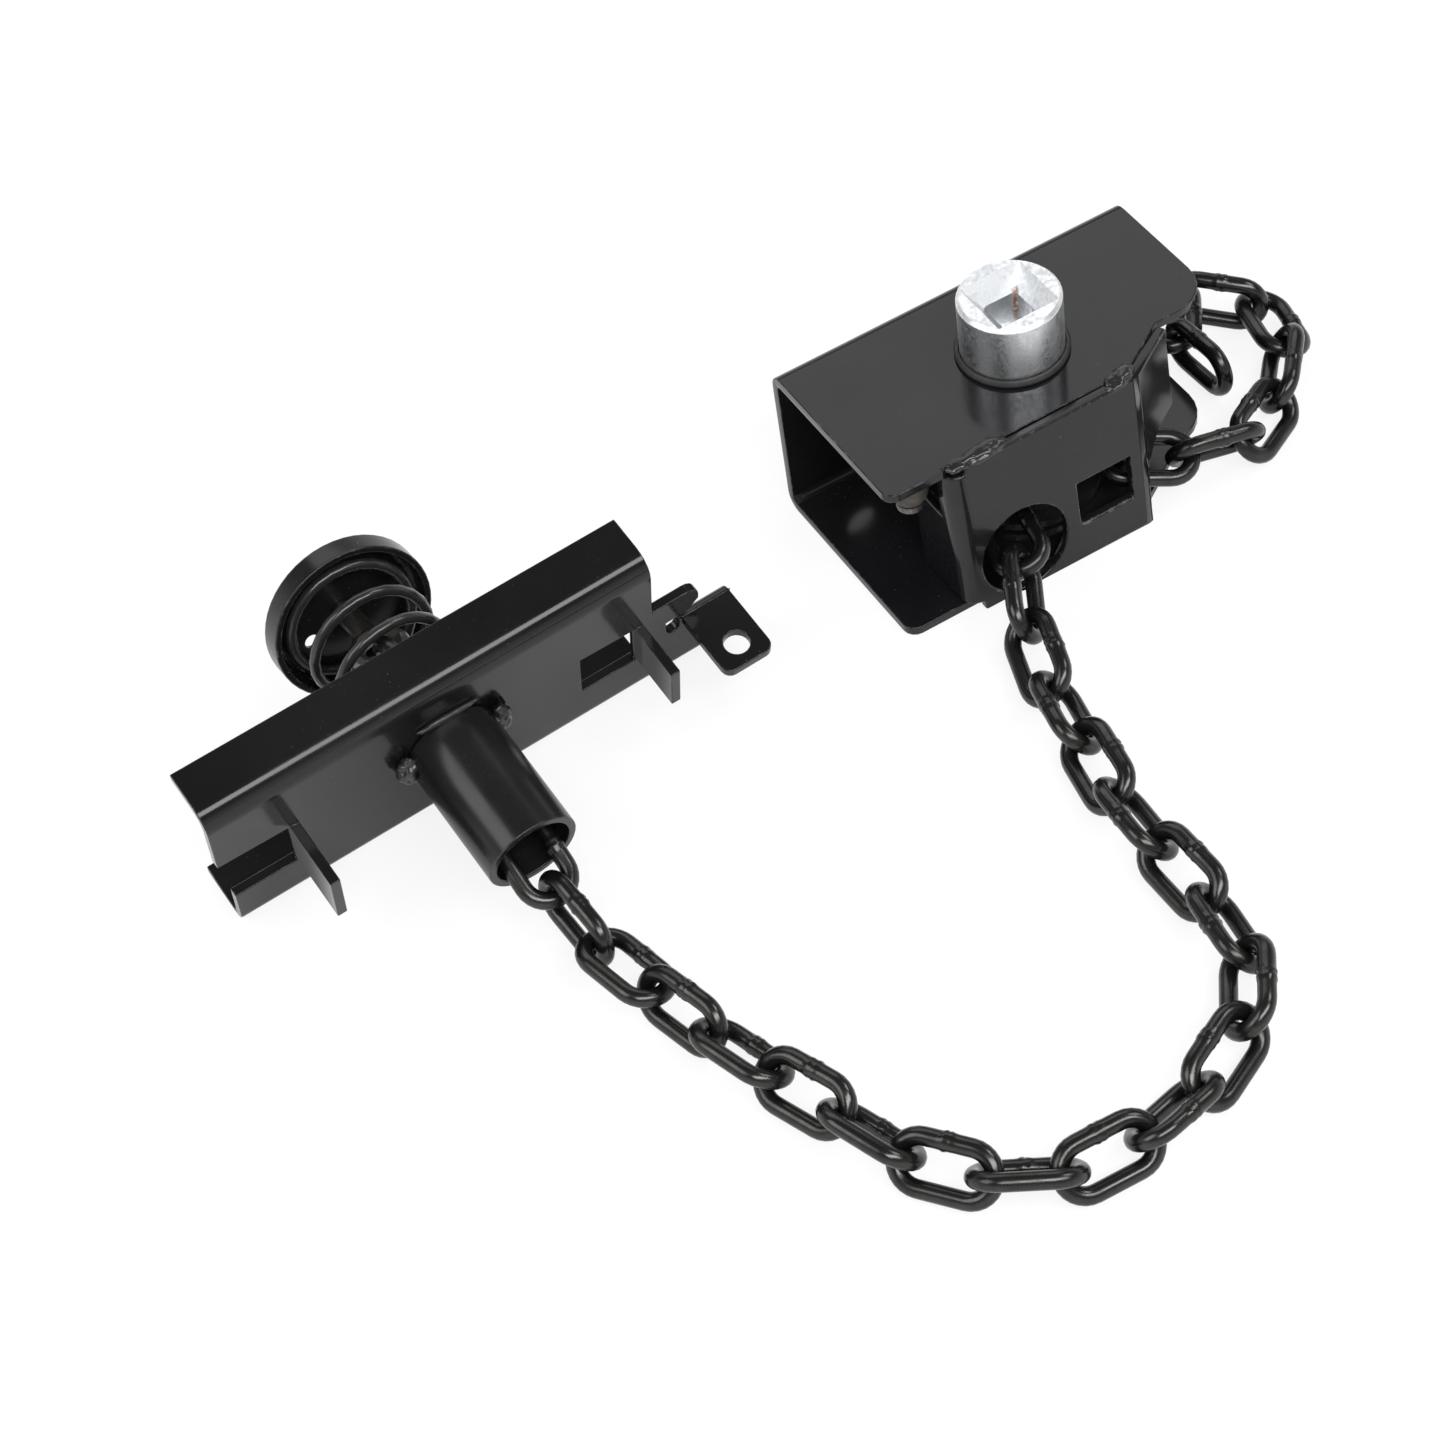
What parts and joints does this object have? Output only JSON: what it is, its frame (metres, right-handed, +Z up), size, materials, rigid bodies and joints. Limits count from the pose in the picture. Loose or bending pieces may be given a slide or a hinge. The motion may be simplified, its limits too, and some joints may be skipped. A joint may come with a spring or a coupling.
{
  "type": "spare wheel chain hoist",
  "caption": "Chain hoist for a spare wheel: sheet housing with a square drive socket, short-link chain, and a spring-loaded carrier bar with a guide tube.",
  "frame": {"origin": "on the underside of the housing base, under the drive axis", "axes": "+X along the housing, +Y towards its back wall, +Z up the drive axis"},
  "size_m": [0.3683, 0.2673, 0.0746],
  "materials": {
    "black_paint": "gloss black paint",
    "chain": "oiled dark steel",
    "zinc": "zinc-plated, bare on the rim",
    "steel": "machined, greased",
    "bronze": "turned bearing bronze",
    "rubber": "moulded black rubber",
    "spring": "black-coated spring wire"
  },
  "bodies": {
    "housing": {"bracket": "black_paint", "front_plate": "black_paint", "stop_buffer": "rubber", "buffer_rivet": "steel", "shaft_bush": "bronze", "floor_bush": "bronze", "seal_ring": "rubber", "anchor_plate": "steel", "wheel_link_1": "chain", "wheel_link_2": "chain", "wheel_link_3": "chain", "wheel_link_4": "chain", "wheel_link_5": "chain"},
    "drive": {"drive_socket": "zinc", "eccentric_shaft": "steel", "retaining_clip": "steel"},
    "wheel": {"chain_wheel": "steel", "ring_gear": "steel"},
    "disc": {"cycloid_gear": "steel"},
    "chain_link_01": {"chain_link_01": "chain"},
    "chain_link_02": {"chain_link_02": "chain"},
    "chain_link_03": {"chain_link_03": "chain"},
    "chain_link_04": {"chain_link_04": "chain"},
    "chain_link_05": {"chain_link_05": "chain"},
    "chain_link_06": {"chain_link_06": "chain"},
    "chain_link_07": {"chain_link_07": "chain"},
    "chain_link_08": {"chain_link_08": "chain"},
    "chain_link_09": {"chain_link_09": "chain"},
    "chain_link_10": {"chain_link_10": "chain"},
    "chain_link_11": {"chain_link_11": "chain"},
    "chain_link_12": {"chain_link_12": "chain"},
    "chain_link_13": {"chain_link_13": "chain"},
    "chain_link_14": {"chain_link_14": "chain"},
    "chain_link_15": {"chain_link_15": "chain"},
    "chain_link_16": {"chain_link_16": "chain"},
    "chain_link_17": {"chain_link_17": "chain"},
    "chain_link_18": {"chain_link_18": "chain"},
    "chain_link_19": {"chain_link_19": "chain"},
    "chain_link_20": {"chain_link_20": "chain"},
    "chain_link_21": {"chain_link_21": "chain"},
    "tail_link_01": {"tail_link_01": "chain"},
    "tail_link_02": {"tail_link_02": "chain"},
    "tail_link_03": {"tail_link_03": "chain"},
    "tail_link_04": {"tail_link_04": "chain"},
    "tail_link_05": {"tail_link_05": "chain"},
    "tail_link_06": {"tail_link_06": "chain"},
    "tail_link_07": {"tail_link_07": "chain"},
    "tail_link_08": {"tail_link_08": "chain"},
    "spring_anchor": {"dish": "black_paint", "anchor_eye": "steel", "carrier_link_1": "chain", "carrier_link_2": "chain", "carrier_link_3": "chain", "spring": "spring"},
    "carrier": {"carrier_bar": "black_paint", "guide_tube": "black_paint"}
  },
  "joints": [
    {"name": "wheel_spin", "type": "hinge", "parent": "housing", "child": "wheel", "pos_m": [0, 0, 0.016], "axis": [0, 0, 1], "continuous": true},
    {"name": "drive_spin", "type": "hinge", "parent": "housing", "child": "drive", "pos_m": [0, 0, 0.054], "axis": [0, 0, 1], "continuous": true},
    {"name": "disc_spin", "type": "hinge", "parent": "drive", "child": "disc", "pos_m": [0.0012, 0, 0.032], "axis": [0, 0, 1], "continuous": true},
    {"name": "chain_link_01_hinge", "type": "hinge", "parent": "housing", "child": "chain_link_01", "pos_m": [-0.02118, -0.02132, 0.01592], "axis": [0, 0.0118, -0.9999], "range_deg": [-10, 8]},
    {"name": "chain_link_02_hinge", "type": "hinge", "parent": "chain_link_01", "child": "chain_link_02", "pos_m": [-0.02602, -0.04166, 0.01522], "axis": [0.9018, -0.3536, 0.2485], "range_deg": [-10, 10]},
    {"name": "chain_link_03_hinge", "type": "hinge", "parent": "chain_link_02", "child": "chain_link_03", "pos_m": [-0.03671, -0.05923, 0.0105], "axis": [-0.5045, 0.0529, 0.8618], "range_deg": [-10, 10]},
    {"name": "chain_link_04_hinge", "type": "hinge", "parent": "chain_link_03", "child": "chain_link_04", "pos_m": [-0.04215, -0.0793, 0.00769], "axis": [-0.6735, 0.2089, -0.709], "range_deg": [-10, 10]},
    {"name": "chain_link_05_hinge", "type": "hinge", "parent": "chain_link_04", "child": "chain_link_05", "pos_m": [-0.04593, -0.09997, 0.00861], "axis": [0.6936, -0.1483, -0.7049], "range_deg": [-10, 10]},
    {"name": "chain_link_06_hinge", "type": "hinge", "parent": "chain_link_05", "child": "chain_link_06", "pos_m": [-0.04929, -0.12069, 0.009], "axis": [0.7029, -0.0709, 0.7077], "range_deg": [-10, 10]},
    {"name": "chain_link_07_hinge", "type": "hinge", "parent": "chain_link_06", "child": "chain_link_07", "pos_m": [-0.04989, -0.14168, 0.00909], "axis": [-0.7086, -0.003, 0.7056], "range_deg": [-10, 10]},
    {"name": "chain_link_08_hinge", "type": "hinge", "parent": "chain_link_07", "child": "chain_link_08", "pos_m": [-0.04936, -0.16266, 0.00829], "axis": [-0.7062, 0.0391, -0.7069], "range_deg": [-10, 10]},
    {"name": "chain_link_09_hinge", "type": "hinge", "parent": "chain_link_08", "child": "chain_link_09", "pos_m": [-0.05305, -0.18324, 0.00915], "axis": [0.6659, -0.2781, -0.6922], "range_deg": [-10, 10]},
    {"name": "chain_link_10_hinge", "type": "hinge", "parent": "chain_link_09", "child": "chain_link_10", "pos_m": [-0.0665, -0.19929, 0.00945], "axis": [0.4328, -0.5653, 0.7022], "range_deg": [-10, 10]},
    {"name": "chain_link_11_hinge", "type": "hinge", "parent": "chain_link_10", "child": "chain_link_11", "pos_m": [-0.0862, -0.20657, 0.00736], "axis": [-0.2203, 0.6668, 0.7119], "range_deg": [-10, 10]},
    {"name": "chain_link_12_hinge", "type": "hinge", "parent": "chain_link_11", "child": "chain_link_12", "pos_m": [-0.10681, -0.21024, 0.00894], "axis": [-0.0767, 0.7027, -0.7074], "range_deg": [-10, 10]},
    {"name": "chain_link_13_hinge", "type": "hinge", "parent": "chain_link_12", "child": "chain_link_13", "pos_m": [-0.1276, -0.20739, 0.00857], "axis": [-0.2129, -0.6855, -0.6962], "range_deg": [-10, 10]},
    {"name": "chain_link_14_hinge", "type": "hinge", "parent": "chain_link_13", "child": "chain_link_14", "pos_m": [-0.14516, -0.1959, 0.00951], "axis": [-0.4691, -0.5253, 0.7099], "range_deg": [-10, 10]},
    {"name": "chain_link_15_hinge", "type": "hinge", "parent": "chain_link_14", "child": "chain_link_15", "pos_m": [-0.1568, -0.17843, 0.00787], "axis": [0.6154, 0.3533, 0.7046], "range_deg": [-10, 10]},
    {"name": "chain_link_16_hinge", "type": "hinge", "parent": "chain_link_15", "child": "chain_link_16", "pos_m": [-0.16415, -0.15877, 0.00962], "axis": [0.6494, 0.2691, -0.7113], "range_deg": [-10, 10]},
    {"name": "chain_link_17_hinge", "type": "hinge", "parent": "chain_link_16", "child": "chain_link_17", "pos_m": [-0.17138, -0.13907, 0.00876], "axis": [-0.6636, -0.2536, -0.7038], "range_deg": [-10, 10]},
    {"name": "chain_link_18_hinge", "type": "hinge", "parent": "chain_link_17", "child": "chain_link_18", "pos_m": [-0.17786, -0.11909, 0.00887], "axis": [-0.7715, -0.235, 0.5912], "range_deg": [-10, 10]},
    {"name": "chain_link_19_hinge", "type": "hinge", "parent": "chain_link_18", "child": "chain_link_19", "pos_m": [-0.1833, -0.09881, 0.0087], "axis": [0.4432, 0.1142, 0.8891], "range_deg": [-10, 10]},
    {"name": "chain_link_20_hinge", "type": "hinge", "parent": "chain_link_19", "child": "chain_link_20", "pos_m": [-0.18818, -0.07839, 0.00904], "axis": [0.9284, 0.1997, -0.3134], "range_deg": [-10, 10]},
    {"name": "chain_link_21_hinge", "type": "hinge", "parent": "chain_link_20", "child": "chain_link_21", "pos_m": [-0.18995, -0.05806, 0.01376], "axis": [-0.2074, 0.3108, -0.9276], "range_deg": [-10, 10]},
    {"name": "carrier_hinge", "type": "hinge", "parent": "chain_link_21", "child": "spring_anchor", "pos_m": [-0.19115, -0.03992, 0.02441], "axis": [-0.9964, -0.0784, 0.0307], "range_deg": [-12, 2]},
    {"name": "carrier_slide", "type": "slide", "parent": "spring_anchor", "child": "carrier", "axis": [-0.0647, 0.9741, 0.2164], "range_m": [0, 0.018], "stiffness_N_per_m": 4000, "deforming": ["spring"]},
    {"name": "tail_link_01_hinge", "type": "hinge", "parent": "housing", "child": "tail_link_01", "pos_m": [0.02118, -0.0213, 0.01539], "axis": [0, 0.0898, -0.996], "range_deg": [-3, 4]},
    {"name": "tail_link_02_hinge", "type": "hinge", "parent": "tail_link_01", "child": "tail_link_02", "pos_m": [0.03939, -0.03076, 0.0118], "axis": [0.3545, 0.8858, 0.2995], "range_deg": [-10, 10]},
    {"name": "tail_link_03_hinge", "type": "hinge", "parent": "tail_link_02", "child": "tail_link_03", "pos_m": [0.06008, -0.03328, 0.00926], "axis": [0.156, -0.5403, 0.8269], "range_deg": [-10, 5]},
    {"name": "tail_link_04_hinge", "type": "hinge", "parent": "tail_link_03", "child": "tail_link_04", "pos_m": [0.0779, -0.02223, 0.00775], "axis": [0.4388, -0.5423, -0.7165], "range_deg": [-8, 10]},
    {"name": "tail_link_05_hinge", "type": "hinge", "parent": "tail_link_04", "child": "tail_link_05", "pos_m": [0.0909, -0.00579, 0.00935], "axis": [-0.4761, 0.2813, -0.8332], "range_deg": [-10, 10]},
    {"name": "tail_link_06_hinge", "type": "hinge", "parent": "tail_link_05", "child": "tail_link_06", "pos_m": [0.09264, 0.01451, 0.0087], "axis": [-0.9034, -0.2742, 0.3297], "range_deg": [-10, 10]},
    {"name": "tail_link_07_hinge", "type": "hinge", "parent": "tail_link_06", "child": "tail_link_07", "pos_m": [0.07512, 0.02745, 0.01038], "axis": [0.0535, 0.1081, 0.9927], "range_deg": [-7, 10]},
    {"name": "tail_link_08_hinge", "type": "hinge", "parent": "tail_link_07", "child": "tail_link_08", "pos_m": [0.06436, 0.01034, 0.00943], "axis": [-0.9538, 0.2994, -0.024], "range_deg": [-10, 10]}
  ],
  "couplings": [
    {"joint": "drive_spin", "follows": "wheel_spin", "ratio": 12},
    {"joint": "disc_spin", "follows": "wheel_spin", "ratio": -12}
  ]
}
